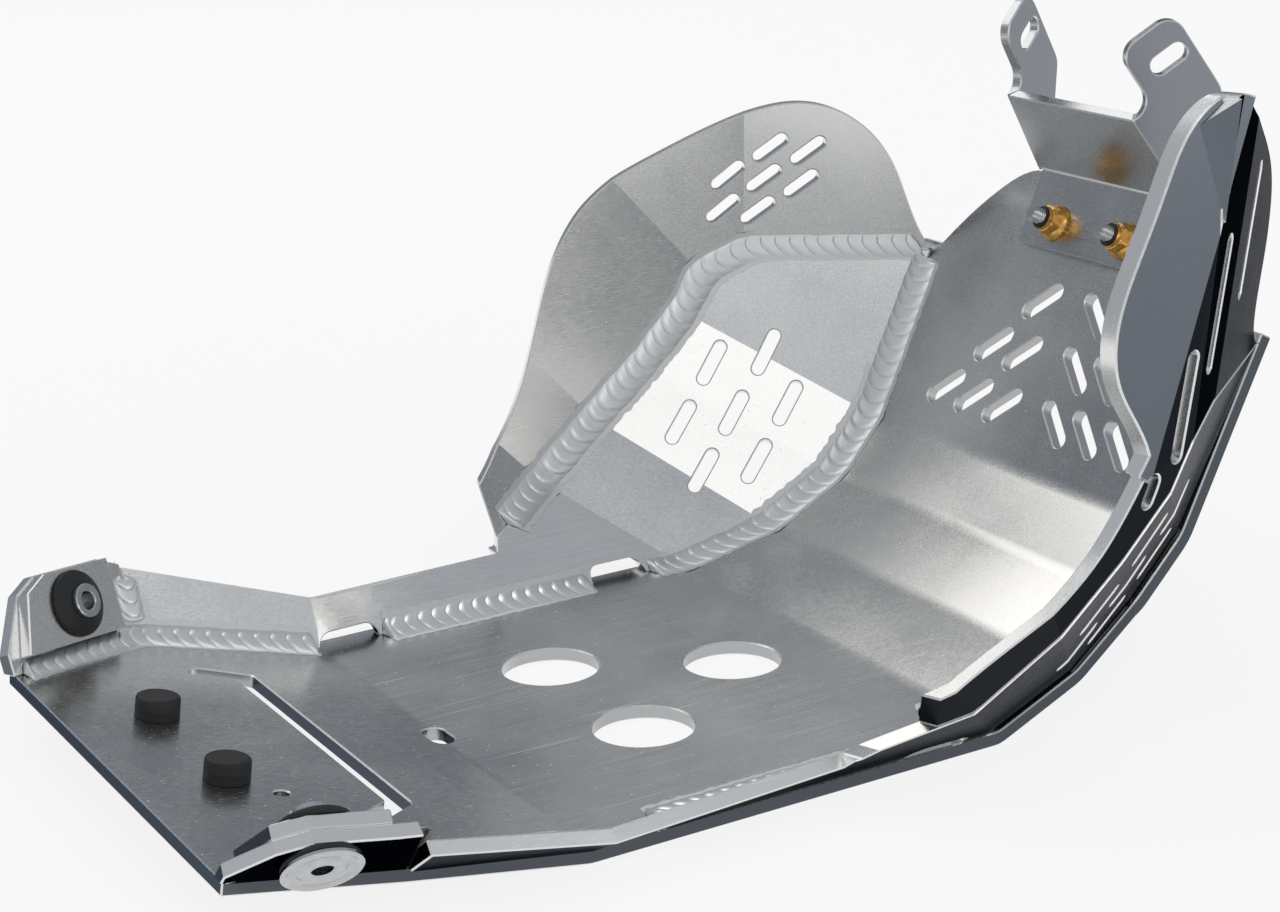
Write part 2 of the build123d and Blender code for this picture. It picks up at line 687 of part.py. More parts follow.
# Bracket bolts through the panel, with serrated flange nuts inside
for name, y in (("left", bracket_hole_y), ("right", -bracket_hole_y)):
    seat = Plane(origin=on_panel(bracket_hole_s, y), x_dir=panel_plane.x_dir, z_dir=panel_plane.z_dir)
    nut_low = bracket_plate
    nut_high = nut_low + flange_nut_height
    with BuildPart() as bolt:
        with BuildSketch(seat.offset(-plate)):
            Circle(bolt_radius)
        extrude(amount=plate + nut_high + bolt_proud)
        with BuildSketch(seat.offset(-plate)):
            Circle(bolt_head_radius)
        extrude(amount=-bolt_head_height)
        with BuildSketch(seat.offset(-plate - bolt_head_height)):
            RegularPolygon(bolt_socket / 2, 6, major_radius=False)
        extrude(amount=bolt_socket_depth, mode=Mode.SUBTRACT)
    bolt.part.label = name + "_bolt"
    export_step(bolt.part, "parts/" + name + "_bolt.step")
    with BuildPart() as nut:
        with BuildSketch(seat.offset(nut_low)):
            Circle(flange_nut_radius)
        extrude(amount=flange_nut_base)
        with BuildSketch(seat.offset(nut_low)):
            RegularPolygon(flange_nut_across / 2, 6, major_radius=False)
        extrude(amount=flange_nut_height)
        with BuildSketch(seat.offset(nut_low)):
            Circle(bolt_radius)
        extrude(amount=flange_nut_height, mode=Mode.SUBTRACT)
    nut.part.label = name + "_nut"
    export_step(nut.part, "parts/" + name + "_nut.step")


def bead_ring(corner, one, two):
    # Bead section: the corner, a toe on each plate and a crown between the toes
    middle = (one + two) * 0.5
    crown = middle + (middle - corner).normalized() * bead_crown
    return Face(Wire.make_polygon([corner, one, crown, two]))


inward = Vector(0, -bead_leg, 0)


def flange_ring(rings, k, share):
    # Bead section on the flange, part of the way from ring k to ring k + 1
    low = rings[k][0] + (rings[k + 1][0] - rings[k][0]) * share
    high = rings[k][1] + (rings[k + 1][1] - rings[k][1]) * share
    return bead_ring(low, low + inward, low + (high - low).normalized() * bead_rise)


def floor_ring(x):
    low = Vector(x, seam_floor, plate)
    tall = Vector(0, sin(radians(cheek_flares[0])), cos(radians(cheek_flares[0])))
    return bead_ring(low, low + inward, low + tall * bead_rise)


def seam_ring(point, rising):
    return bead_ring(point, point + inward, point + rising * bead_leg)


end_point = seam[4] + (seam[5] - seam[4]) * (bead_floor_end_s / seam_panel_s)
gap_ends = [fold_1.X + start + gap_length for start in gap_starts]
for side in ("left", "right"):
    rings = flange_rings[side]
    ear_rings = [bead_ring(foot, foot + inward, foot + ear_rises[side] * bead_rise)
                 for foot in (tails[side], hips[side])]
    runs = {
        "tail_weld": [*ear_rings, flange_ring(rings, 0, 1.0)],
        "flange_weld": [flange_ring(rings, 1, gap_length / flange_front), floor_ring(flange_foot.X),
                        floor_ring(fold_1.X + gap_starts[1])],
        "seam_weld": [floor_ring(gap_ends[1]), *[seam_ring(seam[k], folds[k - 1]) for k in range(1, 5)],
                      seam_ring(end_point, folds[3])],
    }
    for name, sections in runs.items():
        with BuildPart() as weld:
            loft(sections, ruled=True)
            add(below.part, mode=Mode.SUBTRACT)
        keep(placed(weld.part, side), side + "_" + name)


def guard_rings(facets, first):
    # Bead sections along the joint, from a share of its first stretch to near its front end
    rises = []
    for k in range(6):
        rising = fold_dir(facets[k], facets[k + 1])
        along = (joint[k + 2] - joint[k]).normalized()
        if abs(rising.dot(along)) > bead_skew:
            rising = along.cross(facets[k].z_dir + facets[k + 1].z_dir).normalized()
        rises.append(rising if rising.Z > 0 else rising * -1)
    drops = [folds[0], folds[0], folds[1], folds[2], folds[3], folds[3], folds[3], folds[3]]
    rises = [rises[0]] + rises + [rises[5]]
    spots = list(joint)
    spots[0] = joint[0] + (joint[1] - joint[0]) * first
    spots[7] = joint[6] + (joint[7] - joint[6]) * guard_bead_end
    return [bead_ring(spots[k], spots[k] - drops[k] * bead_leg, spots[k] + rises[k] * bead_leg)
            for k in range(8)]


for side, facets, first, guard in (("left", left_facets, guard_bead_start, exhaust_guard),
                                   ("right", right_facets, right_start, right_guard)):
    with BuildPart() as guard_weld:
        loft(guard_rings(facets, first), ruled=True)
        for plain in (base_plate.part, cheeks[side], guard.part):
            add(plain, mode=Mode.SUBTRACT)
    keep(placed(guard_weld.part, side), side + "_guard_weld")
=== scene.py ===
# %% [markdown]
# # A welded aluminium skid plate
# The real object is a sheet-metal tray that bolts under a motorcycle engine. It is cut, folded and
# welded from 5 mm aluminium sheet. The solid model already has its true shape and size, so this lesson
# loads that model as a fixed frame, lights it like a studio photograph, and adds what only the eye
# needs: weld ripples, threads, moulded rubber and the finish of the metal.

# %% Load the solid model
import math

import bmesh
import bpy
from mathutils import Matrix, Vector, noise


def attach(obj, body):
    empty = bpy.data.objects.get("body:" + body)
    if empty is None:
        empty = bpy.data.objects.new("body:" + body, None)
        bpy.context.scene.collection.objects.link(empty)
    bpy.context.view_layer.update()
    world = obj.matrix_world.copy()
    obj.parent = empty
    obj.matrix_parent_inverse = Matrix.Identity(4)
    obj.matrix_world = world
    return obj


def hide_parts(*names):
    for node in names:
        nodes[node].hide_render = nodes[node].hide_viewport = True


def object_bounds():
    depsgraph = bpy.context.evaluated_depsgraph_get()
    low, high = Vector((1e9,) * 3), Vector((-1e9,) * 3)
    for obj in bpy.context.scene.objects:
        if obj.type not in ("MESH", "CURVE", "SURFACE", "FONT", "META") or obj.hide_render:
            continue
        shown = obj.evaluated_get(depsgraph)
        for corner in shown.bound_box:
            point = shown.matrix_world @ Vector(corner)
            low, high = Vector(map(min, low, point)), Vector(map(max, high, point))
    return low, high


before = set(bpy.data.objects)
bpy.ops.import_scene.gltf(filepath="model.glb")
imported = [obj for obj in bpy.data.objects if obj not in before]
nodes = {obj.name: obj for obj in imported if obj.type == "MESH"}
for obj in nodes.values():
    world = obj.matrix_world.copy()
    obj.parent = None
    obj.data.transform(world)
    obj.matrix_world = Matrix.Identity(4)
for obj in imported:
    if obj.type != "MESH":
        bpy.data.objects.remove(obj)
cad_low, cad_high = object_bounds()
# Blender counts in metres, and MM turns a size in millimetres into them.
MM = 0.001
print("solid pieces:", len(nodes))
print("solid size in mm:", [round(v / MM, 1) for v in cad_high - cad_low])

# %% [markdown]
# ## The camera
# The photograph was taken from behind and to the right, a little above the tray. The camera was worked
# out from the folds and holes that can be measured in the picture. A camera is a place, three directions
# and a lens, so those are written here as they are, with a small roll because the picture was not level.
# The shift moves the frame sideways without turning the camera, as the crop of a photograph does.

# %% Camera at the photographer's place
PHOTO_WIDTH = 1280
PHOTO_HEIGHT = 912
FOCAL_PIXELS = 2642.0
CAMERA_PLACE = Vector((-430.3, -745.3, 360.1)) * MM
CAMERA_TURN = math.radians(-28.8)
CAMERA_LOOK_DOWN = math.radians(17.2)
CAMERA_ROLL = math.radians(-2.5)
AXIS_PIXEL = (580.0, 443.9)

back = Vector((math.sin(CAMERA_TURN) * math.cos(CAMERA_LOOK_DOWN),
               -math.cos(CAMERA_TURN) * math.cos(CAMERA_LOOK_DOWN), math.sin(CAMERA_LOOK_DOWN)))
level = Vector((math.cos(CAMERA_TURN), math.sin(CAMERA_TURN), 0))
upright = back.cross(level)
across = level * math.cos(CAMERA_ROLL) + upright * math.sin(CAMERA_ROLL)
over = upright * math.cos(CAMERA_ROLL) - level * math.sin(CAMERA_ROLL)

camera_data = bpy.data.cameras.new("photo_camera")
camera_data.sensor_width = 36.0
camera_data.lens = FOCAL_PIXELS / PHOTO_WIDTH * camera_data.sensor_width
camera_data.shift_x = (PHOTO_WIDTH / 2 - AXIS_PIXEL[0]) / PHOTO_WIDTH
camera_data.shift_y = (AXIS_PIXEL[1] - PHOTO_HEIGHT / 2) / PHOTO_WIDTH
camera_data.clip_start = 0.01
camera_data.clip_end = 50.0
camera = bpy.data.objects.new("photo_camera", camera_data)
bpy.context.scene.collection.objects.link(camera)
camera.matrix_world = Matrix((
    (across.x, over.x, back.x, CAMERA_PLACE.x),
    (across.y, over.y, back.y, CAMERA_PLACE.y),
    (across.z, over.z, back.z, CAMERA_PLACE.z),
    (0, 0, 0, 1)))
bpy.context.scene.camera = camera
print("lens in mm:", round(camera_data.lens, 1))

# %% [markdown]
# ## Colours and nodes
# Colours are picked as sRGB hex values, the way a paint chart gives them, but shaders count in linear
# light. One function turns the first into the second. A second small function adds a shader node, sets
# its fields and joins its inputs, so that each material below reads as a short recipe.

# %% Helpers for colours and shader nodes
def linear(hex_code):
    channels = [int(hex_code[k:k + 2], 16) / 255 for k in (1, 3, 5)]
    return [c / 12.92 if c <= 0.04045 else ((c + 0.055) / 1.055) ** 2.4 for c in channels] + [1.0]


def add_node(tree, kind, fields=None, inputs=None):
    node = tree.nodes.new(kind)
    for name, value in (fields or {}).items():
        setattr(node, name, value)
    for name, value in (inputs or {}).items():
        if isinstance(value, bpy.types.NodeSocket):
            tree.links.new(value, node.inputs[name])
        else:
            node.inputs[name].default_value = value
    return node


def new_material(name):
    material = bpy.data.materials.new(name)
    material.use_nodes = True
    tree = material.node_tree
    tree.nodes.clear()
    return material, tree


PAPER_HEX = "#f8f8f7"
print("paper white in linear light:", [round(c, 3) for c in linear(PAPER_HEX)])

# %% [markdown]
# ## The floor
# The part was photographed on white. White paper could be lit until it burns out, but then the metal
# would burn out too. So the paper is a matte surface of which a large share simply shows white to the
# camera and to reflections. The rest takes light as paper does, and keeps the shadow.

# %% White paper floor
FLOOR_HALF = 6.0
PAPER_GLOW = 0.86
floor_mesh = bpy.data.meshes.new("studio_floor")
floor_corners = [(x * FLOOR_HALF, y * FLOOR_HALF, cad_low.z) for x, y in ((-1, -1), (1, -1), (1, 1), (-1, 1))]
floor_mesh.from_pydata(floor_corners, [], [(0, 1, 2, 3)])
floor = bpy.data.objects.new("studio_floor", floor_mesh)
bpy.context.scene.collection.objects.link(floor)

# Uncoated paper scatters light evenly, so it shows no highlight.
paper, tree = new_material("white_studio_paper")
matte = add_node(tree, "ShaderNodeBsdfDiffuse", None, {"Color": linear(PAPER_HEX), "Roughness": 0.5})
shine = add_node(tree, "ShaderNodeEmission", None, {"Color": linear("#ffffff"), "Strength": 1.0})
rays = add_node(tree, "ShaderNodeLightPath")
seen = add_node(tree, "ShaderNodeMath", {"operation": "MAXIMUM"}, {
    0: rays.outputs["Is Camera Ray"], 1: rays.outputs["Is Glossy Ray"]})
through = add_node(tree, "ShaderNodeMath", {"operation": "MAXIMUM"}, {
    0: seen.outputs["Value"], 1: rays.outputs["Is Transmission Ray"]})
share = add_node(tree, "ShaderNodeMath", {"operation": "MULTIPLY"}, {
    0: through.outputs["Value"], 1: PAPER_GLOW})
both = add_node(tree, "ShaderNodeMixShader", None, {
    0: share.outputs["Value"], 1: matte.outputs["BSDF"], 2: shine.outputs["Emission"]})
add_node(tree, "ShaderNodeOutputMaterial", None, {"Surface": both.outputs["Shader"]})
floor_mesh.materials.append(paper)
print("floor at", round(cad_low.z / MM, 2), "mm")

# %% [markdown]
# ## The light
# Bare metal is a mirror, so its picture is mostly a picture of the room. The room here has three soft
# boxes: a key behind the camera, a long low one on the right, and a broad one high on the far left. A
# plain sky, darker low on the left, fills in the rest. One even dome would be simpler, but it would give
# every fold the same grey. In this room each fold looks at another part and gets its own.

# %% Three soft boxes
AIM = Vector((0.05, 0.03, 0.08))
BOX_DISTANCE = 2.2


def soft_box(name, turn, height, size, watts, hex_code):
    turn = math.radians(turn)
    height = math.radians(height)
    toward = Vector((math.cos(turn) * math.cos(height), math.sin(turn) * math.cos(height), math.sin(height)))
    data = bpy.data.lights.new(name, "AREA")
    data.shape = "RECTANGLE"
    data.size = size[0]
    data.size_y = size[1]
    data.energy = watts
    data.color = linear(hex_code)[:3]
    lamp = bpy.data.objects.new(name, data)
    lamp.location = AIM + toward * BOX_DISTANCE
    lamp.rotation_euler = (-toward).to_track_quat("-Z", "Y").to_euler()
    bpy.context.scene.collection.objects.link(lamp)
    return lamp


key = soft_box("key_soft_box", -118, 41, (1.15, 0.8), 3.0, "#fffaf4")
fill = soft_box("fill_soft_box", -66, 9, (1.9, 0.7), 5.4, "#fff8ee")
broad = soft_box("broad_soft_box", 104, 50, (2.2, 1.1), 11.0, "#fffaf2")
print("lamps:", key.name, fill.name, broad.name)

# %% A plain sky
SIDE_FADE = (-0.6, 0.8)
HEIGHT_FADE = (0.2, 0.8)
LOW_LEFT_HEX = "#777c83"
LOW_RIGHT_HEX = "#cdd0d4"
HIGH_HEX = "#b2b6bc"
world = bpy.data.worlds.new("studio_sky")
bpy.context.scene.world = world
world.use_nodes = True
tree = world.node_tree
tree.nodes.clear()
direction = add_node(tree, "ShaderNodeTexCoord")
axes = add_node(tree, "ShaderNodeSeparateXYZ", None, {"Vector": direction.outputs["Generated"]})
sideways = add_node(tree, "ShaderNodeMapRange", {"interpolation_type": "SMOOTHSTEP"}, {
    "Value": axes.outputs["Y"], "From Min": SIDE_FADE[0], "From Max": SIDE_FADE[1],
    "To Min": 1.0, "To Max": 0.0})
upward = add_node(tree, "ShaderNodeMapRange", {"interpolation_type": "SMOOTHSTEP"}, {
    "Value": axes.outputs["Z"], "From Min": HEIGHT_FADE[0], "From Max": HEIGHT_FADE[1]})
low_sky = add_node(tree, "ShaderNodeMix", {"data_type": "RGBA"}, {
    "Factor": sideways.outputs["Result"], "A": linear(LOW_LEFT_HEX), "B": linear(LOW_RIGHT_HEX)})
sky = add_node(tree, "ShaderNodeMix", {"data_type": "RGBA"}, {
    "Factor": upward.outputs["Result"], "A": low_sky.outputs["Result"], "B": linear(HIGH_HEX)})
glow = add_node(tree, "ShaderNodeBackground", None, {"Color": sky.outputs["Result"], "Strength": 1.0})
add_node(tree, "ShaderNodeOutputWorld", None, {"Surface": glow.outputs["Background"]})
bpy.context.scene.view_settings.view_transform = "Standard"
print("sky:", world.name)

# %% [markdown]
# ## Mill-finish aluminium sheet
# The tray is bare rolled sheet. Rolling leaves fine straight grain and a cloudy change in gloss, and
# handling adds hair scratches and dust. A picture of real sheet could be wrapped round each plate, but
# noise that is stretched along the rolling direction has no seams and can be set in millimetres. Grain
# on real sheet is about 0.1 mm wide, too fine for this picture, so it is drawn half a millimetre wide.

# %% Grain, scratches and dust
GRAIN_WIDTH = 0.5 * MM
GRAIN_LENGTH = 60 * MM
CLOUD_SIZE = 55 * MM
CLOUD_SHARE = 0.8
SCRATCH_WIDTH = 0.35 * MM
SCRATCH_LENGTH = 70 * MM
SCRATCH_LEVELS = (0.80, 0.86)
DUST_SIZE = 0.9 * MM
DUST_LEVELS = (0.82, 0.88)


def sheet_marks(tree, grain_turn, scratch_turn):
    place = add_node(tree, "ShaderNodeTexCoord").outputs["Object"]
    rolled = add_node(tree, "ShaderNodeMapping", None, {
        "Vector": place, "Rotation": grain_turn,
        "Scale": (1 / GRAIN_LENGTH, 1 / GRAIN_WIDTH, 1 / GRAIN_WIDTH)})
    grain = add_node(tree, "ShaderNodeTexNoise", None, {
        "Vector": rolled.outputs["Vector"], "Scale": 1.0, "Detail": 2.0, "Roughness": 0.6})
    cloud = add_node(tree, "ShaderNodeTexNoise", None, {
        "Vector": place, "Scale": 1 / CLOUD_SIZE, "Detail": 4.0, "Roughness": 0.6})
    tone = add_node(tree, "ShaderNodeMath", {"operation": "MULTIPLY_ADD"}, {
        0: cloud.outputs["Fac"], 1: CLOUD_SHARE, 2: grain.outputs["Fac"]})
    skewed = add_node(tree, "ShaderNodeMapping", None, {
        "Vector": place, "Rotation": scratch_turn,
        "Scale": (1 / SCRATCH_LENGTH, 1 / SCRATCH_WIDTH, 1 / SCRATCH_WIDTH)})
    hair = add_node(tree, "ShaderNodeTexNoise", None, {
        "Vector": skewed.outputs["Vector"], "Scale": 1.0, "Detail": 0.0})
    scratch = add_node(tree, "ShaderNodeMapRange", None, {
        "Value": hair.outputs["Fac"], "From Min": SCRATCH_LEVELS[0], "From Max": SCRATCH_LEVELS[1]})
    grit = add_node(tree, "ShaderNodeTexNoise", None, {
        "Vector": place, "Scale": 1 / DUST_SIZE, "Detail": 0.0})
    dust = add_node(tree, "ShaderNodeMapRange", None, {
        "Value": grit.outputs["Fac"], "From Min": DUST_LEVELS[0], "From Max": DUST_LEVELS[1]})
    marks = add_node(tree, "ShaderNodeMath", {"operation": "MAXIMUM"}, {
        0: scratch.outputs["Result"], 1: dust.outputs["Result"]})
    return grain.outputs["Fac"], tone.outputs["Value"], marks.outputs["Value"]


print("grain drawn in mm:", round(GRAIN_WIDTH / MM, 2), "x", round(GRAIN_LENGTH / MM))

# %% [markdown]
# ## Inside, outside and cut edges
# The side of the sheet that looks away from the engine is painted almost black, a painted reflection of a
# dark floor, and the cut edges read pale. Each plate is one solid, so it would have to be cut up to give each
# side a material of its own. A mask leaves it whole: a face looks out if its normal points away from the
# middle of the engine. Outer faces that don't lean down get a lighter painted reflection of the sky.

# %% Which way a face of the sheet looks
ENGINE_MIDDLE = Vector((30, 0, 190)) * MM
OUT_FADE = 0.1
CUT_LEVELS = (-0.40, -0.30)
DARK_BELOW = -0.06
DARK_FADE = 0.11
PAINTED_DARK_REFLECTION_HEX = "#2e3033"
PAINTED_SKY_REFLECTION_HEX = "#676d75"


def sheet_sides_with_painted_reflection(tree, out_from, dark_below):
    geometry = add_node(tree, "ShaderNodeNewGeometry")
    away = add_node(tree, "ShaderNodeVectorMath", {"operation": "SUBTRACT"}, {
        0: geometry.outputs["Position"], 1: ENGINE_MIDDLE})
    outward = add_node(tree, "ShaderNodeVectorMath", {"operation": "NORMALIZE"}, {
        0: away.outputs["Vector"]})
    facing = add_node(tree, "ShaderNodeVectorMath", {"operation": "DOT_PRODUCT"}, {
        0: outward.outputs["Vector"], 1: geometry.outputs["True Normal"]})
    outside = add_node(tree, "ShaderNodeMapRange", None, {
        "Value": facing.outputs["Value"], "From Min": out_from, "From Max": out_from + OUT_FADE})
    cut = add_node(tree, "ShaderNodeMapRange", None, {
        "Value": facing.outputs["Value"], "From Min": CUT_LEVELS[0], "From Max": CUT_LEVELS[1]})
    tilt = add_node(tree, "ShaderNodeSeparateXYZ", None, {"Vector": geometry.outputs["True Normal"]})
    raised = add_node(tree, "ShaderNodeMapRange", None, {
        "Value": tilt.outputs["Z"], "From Min": dark_below, "From Max": dark_below + DARK_FADE})
    # Painted reflection: outer faces get a dark tone where they lean down and a lighter one where they lean
    # up, in place of the floor and the sky that they would mirror.
    shade = add_node(tree, "ShaderNodeMix", {"data_type": "RGBA"}, {
        "Factor": raised.outputs["Result"], "A": linear(PAINTED_DARK_REFLECTION_HEX), "B": linear(PAINTED_SKY_REFLECTION_HEX)})
    return outside.outputs["Result"], cut.outputs["Result"], shade.outputs["Result"]


print("middle of the engine in mm:", [round(v / MM) for v in ENGINE_MIDDLE])

# %% Rolled aluminium for the floor, the sides and the bracket
TONE_LEVELS = (0.6, 1.2)
SHEET_ROUGHNESS = (0.17, 0.30)
MARK_ROUGHNESS = 0.3
MARK_HEX = "#f2f2f0"
PAINTED_DARK_RIM_HEX = "#84878c"
GRAIN_BUMP = 0.08
GRAIN_DEPTH = 0.04 * MM


# Rolled aluminium mirrors the room softly along its grain. Scratches and dust are paler and duller. Outer
# faces carry the painted dark reflection, and the rim tint dims their mirror so that this painted dark does
# not turn white where it is seen at a shallow angle.
def rolled_sheet(name, tones, out_from, grain_turn, scratch_turn, dark_below=DARK_BELOW):
    light_hex, mid_hex, edge_hex = tones
    material, tree = new_material(name)
    grain, tone, marks = sheet_marks(tree, grain_turn, scratch_turn)
    outside, cut, shade = sheet_sides_with_painted_reflection(tree, out_from, dark_below)
    spread = add_node(tree, "ShaderNodeMapRange", None, {
        "Value": tone, "From Min": TONE_LEVELS[0], "From Max": TONE_LEVELS[1]})
    bare = add_node(tree, "ShaderNodeMix", {"data_type": "RGBA"}, {
        "Factor": spread.outputs["Result"], "A": linear(mid_hex), "B": linear(light_hex)})
    marked = add_node(tree, "ShaderNodeMix", {"data_type": "RGBA"}, {
        "Factor": marks, "A": bare.outputs["Result"], "B": linear(MARK_HEX)})
    sawn = add_node(tree, "ShaderNodeMix", {"data_type": "RGBA"}, {
        "Factor": cut, "A": marked.outputs["Result"], "B": linear(edge_hex)})
    # Outer faces are painted with the reflection tone in place of the bare metal colour.
    colour = add_node(tree, "ShaderNodeMix", {"data_type": "RGBA"}, {
        "Factor": outside, "A": sawn.outputs["Result"], "B": shade})
    rim_tint = add_node(tree, "ShaderNodeMix", {"data_type": "RGBA"}, {
        "Factor": outside, "A": linear("#ffffff"), "B": linear(PAINTED_DARK_RIM_HEX)})
    gloss = add_node(tree, "ShaderNodeMapRange", None, {
        "Value": tone, "From Min": TONE_LEVELS[0], "From Max": TONE_LEVELS[1],
        "To Min": SHEET_ROUGHNESS[0], "To Max": SHEET_ROUGHNESS[1]})
    rough = add_node(tree, "ShaderNodeMath", {"operation": "MULTIPLY_ADD"}, {
        0: marks, 1: MARK_ROUGHNESS, 2: gloss.outputs["Result"]})
    bump = add_node(tree, "ShaderNodeBump", None, {
        "Height": grain, "Strength": GRAIN_BUMP, "Distance": GRAIN_DEPTH})
    shader = add_node(tree, "ShaderNodeBsdfPrincipled", None, {
        "Base Color": colour.outputs["Result"], "Metallic": 1.0, "Roughness": rough.outputs["Value"],
        "Specular Tint": rim_tint.outputs["Result"], "Normal": bump.outputs["Normal"]})
    add_node(tree, "ShaderNodeOutputMaterial", None, {"Surface": shader.outputs["BSDF"]})
    return material


# The floor and bracket tones are the same aluminium as the sides made darker: painted shade in place of the
# greyer reflections these plates show, not a different metal.
FLOOR_PAINTED_SHADE_TONES = ("#dededc", "#bcbdbe", "#b4b5b6")
SIDE_TONES = ("#e9e9e7", "#d2d3d3", "#ebebea")
BRACKET_PAINTED_SHADE_TONES = ("#c2c4c6", "#aeb1b4", "#868a90")
PLATE_OUT = 0.3
WING_OUT = 0.12
LENGTHWAYS = (0, 0, 0)
UPHILL = (0, -0.75, 0)
FLOOR_SCRATCHES = (0, 0, 0.9)
SIDE_SCRATCHES = (0, 0.5, 0.2)
floor_sheet = rolled_sheet("rolled_aluminium_floor", FLOOR_PAINTED_SHADE_TONES, PLATE_OUT, LENGTHWAYS, FLOOR_SCRATCHES)
side_sheet = rolled_sheet("rolled_aluminium_sides", SIDE_TONES, PLATE_OUT, UPHILL, SIDE_SCRATCHES)
wing_sheet = rolled_sheet("rolled_aluminium_wing", SIDE_TONES, WING_OUT, UPHILL, SIDE_SCRATCHES)
arm_sheet = rolled_sheet("rolled_aluminium_bracket", BRACKET_PAINTED_SHADE_TONES, PLATE_OUT, UPHILL, SIDE_SCRATCHES)
print("sheet finishes:", floor_sheet.name, side_sheet.name, wing_sheet.name, arm_sheet.name)

# %% [markdown]
# ## Filed edges
# Cut sheet has sharp edges, which are filed off, and each filed edge catches a thin line of light. The
# edges could be broken in the solids, but half a millimetre is only for the eye, so modifiers do it. The
# mesh arrives as loose triangles. They are joined first, and flat areas become whole faces. Then the
# edges are bevelled, the folds are split and the normals are evened, so that flat plates shade flat.

# %% A finish with fine specks, for all that is not sheet
SPECK_LEVELS = (0.3, 0.7)
METAL = {"Metallic": 1.0}


def speckled(name, speck, low_hex, high_hex, rough, sockets, detail=3.0, crumble=0.5, bump=None):
    material, tree = new_material(name)
    place = add_node(tree, "ShaderNodeTexCoord").outputs["Object"]
    specks = add_node(tree, "ShaderNodeTexNoise", None, {
        "Vector": place, "Scale": 1 / speck, "Detail": detail, "Roughness": crumble}).outputs["Fac"]
    colour = add_node(tree, "ShaderNodeMix", {"data_type": "RGBA"}, {
        "Factor": specks, "A": linear(low_hex), "B": linear(high_hex)})
    inputs = {"Base Color": colour.outputs["Result"], "Roughness": rough, **sockets}
    if isinstance(rough, tuple):
        spread = add_node(tree, "ShaderNodeMapRange", None, {
            "Value": specks, "From Min": SPECK_LEVELS[0], "From Max": SPECK_LEVELS[1],
            "To Min": rough[0], "To Max": rough[1]})
        inputs["Roughness"] = spread.outputs["Result"]
    if bump:
        grit = add_node(tree, "ShaderNodeBump", None, {
            "Height": specks, "Strength": bump[0], "Distance": bump[1]})
        inputs["Normal"] = grit.outputs["Normal"]
    shader = add_node(tree, "ShaderNodeBsdfPrincipled", None, inputs)
    add_node(tree, "ShaderNodeOutputMaterial", None, {"Surface": shader.outputs["BSDF"]})
    return material


# Filed aluminium has fine strokes that scatter light, so an edge is a pale line from any side.
edge_metal = speckled("filed_aluminium_edge", 0.8 * MM, "#d4d5d6", "#f4f4f3", (0.3, 0.45), METAL)
print("edge finish:", edge_metal.name)

# %% Break the edges of every sheet
JOIN_WITHIN = 0.01 * MM
FLAT_WITHIN = math.radians(0.6)
EDGE_BREAK = 0.5 * MM
EDGE_ANGLE = math.radians(50)
FOLD_ANGLE = math.radians(5)
FACE_WEIGHT = 100
SHEETS = {
    "base_plate": floor_sheet, "exhaust_guard": side_sheet, "right_guard": wing_sheet,
    "top_bracket": arm_sheet, "left_cheek": side_sheet, "right_cheek": side_sheet,
    "left_ear": side_sheet, "right_ear": side_sheet, "left_ear_doubler": side_sheet,
    "right_ear_doubler": side_sheet}
for name, finish in SHEETS.items():
    piece = nodes[name]
    piece.data.materials.clear()
    piece.data.materials.append(finish)
    piece.data.materials.append(edge_metal)
    joined = piece.modifiers.new("joined_corners", "WELD")
    joined.merge_threshold = JOIN_WITHIN
    merged = piece.modifiers.new("whole_faces", "DECIMATE")
    merged.decimate_type = "DISSOLVE"
    merged.angle_limit = FLAT_WITHIN
    broken = piece.modifiers.new("broken_edges", "BEVEL")
    broken.width = EDGE_BREAK
    broken.use_clamp_overlap = False
    broken.segments = 1
    broken.limit_method = "ANGLE"
    broken.angle_limit = EDGE_ANGLE
    broken.material = 1
    parted = piece.modifiers.new("crisp_folds", "EDGE_SPLIT")
    parted.split_angle = FOLD_ANGLE
    evened = piece.modifiers.new("even_faces", "WEIGHTED_NORMAL")
    evened.mode = "FACE_AREA"
    evened.weight = FACE_WEIGHT
print("sheet pieces:", len(SHEETS))

# %% [markdown]
# ## The soft corner of the right guard
# The rear strip of the right guard is bent inwards, and on the real part the sheet runs through that bend
# without a step. In the solid model two flat plates meet there, and near the top one stands a few
# millimetres proud. A small ramp of the same sheet fills most of that step. A bend modifier would move
# the plates themselves, so a piece of its own is the safer way.

# %% Ramp over the step in the right guard
STEP_FOOT = Vector((123.1, -151.0, 177.2))
STEP_LOW = Vector((124.1, -149.3, 216.6))
STEP_HIGH = Vector((125.8, -153.7, 216.6))
STEP_SHARE = 0.985
STRIP_BACK = Vector((-0.975, 0.22, 0))
STRIP_OUT = Vector((-0.22, -0.975, 0))
RAMP_LENGTH = 11.0
RAMP_LIFT = 0.45
RAMP_LAP = 0.9
RAMP_DROP = Vector((0, 0, 9))
RAMP_CURVE = 1.25
FOOT_SHARE = 0.02
RAMP_ROWS = 12
RAMP_COLUMNS = 8
RAMP_DARK_BELOW = -0.4


def add_piece(name, mesh):
    piece = bpy.data.objects.new(name, mesh)
    bpy.context.scene.collection.objects.link(piece)
    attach(piece, "root")
    return piece


